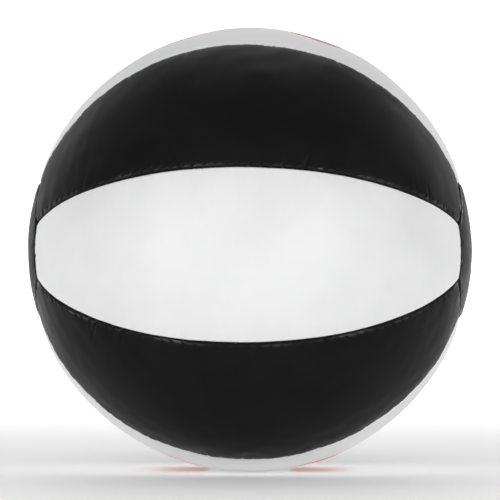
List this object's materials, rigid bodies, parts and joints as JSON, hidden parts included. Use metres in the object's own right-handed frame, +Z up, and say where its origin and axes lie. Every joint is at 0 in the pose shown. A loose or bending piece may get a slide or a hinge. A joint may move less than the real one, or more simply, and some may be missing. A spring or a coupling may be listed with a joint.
{
  "type": "medicine ball",
  "caption": "Stitched leather medicine ball with alternate white and black gores, octagonal black end caps, textile stuffing and a sand weight bag inside.",
  "frame": {"origin": "centre of the resting flat under the ball, at floor level", "axes": "+Z up; the pole axis through both end caps lies along X; the front white gore faces -Y"},
  "size_m": [0.3, 0.3, 0.2989],
  "materials": {
    "white_leather": "smooth, satin",
    "black_leather": "fine grain, semi-gloss",
    "thread": "waxed thread",
    "canvas": "plain weave cotton canvas",
    "wadding": "felted cotton",
    "textile_fill": "packed shredded textile",
    "bag_cloth": "close woven ticking",
    "sand": "dry sand",
    "tie_cord": "braided cord"
  },
  "bodies": {
    "root": {"top_gore": "white_leather", "top_canvas": "canvas", "upper_front_gore": "black_leather", "upper_front_canvas": "canvas", "front_gore": "white_leather", "front_canvas": "canvas", "lower_front_gore": "black_leather", "lower_front_canvas": "canvas", "bottom_gore": "white_leather", "bottom_canvas": "canvas", "lower_rear_gore": "black_leather", "lower_rear_canvas": "canvas", "rear_gore": "white_leather", "rear_canvas": "canvas", "upper_rear_gore": "black_leather", "upper_rear_canvas": "canvas", "top_to_upper_front_stitching": "thread", "upper_front_to_front_stitching": "thread", "front_to_lower_front_stitching": "thread", "lower_front_to_bottom_stitching": "thread", "bottom_to_lower_rear_stitching": "thread", "lower_rear_to_rear_stitching": "thread", "rear_to_upper_rear_stitching": "thread", "upper_rear_to_top_stitching": "thread", "right_end_cap": "black_leather", "right_cap_canvas": "canvas", "right_cap_stitching": "thread", "right_wadding": "wadding", "left_end_cap": "black_leather", "left_cap_canvas": "canvas", "left_cap_stitching": "thread", "left_wadding": "wadding", "core_fill": "textile_fill", "weight_bag": "bag_cloth", "weight_sand": "sand", "bag_tie": "tie_cord"}
  },
  "joints": []
}
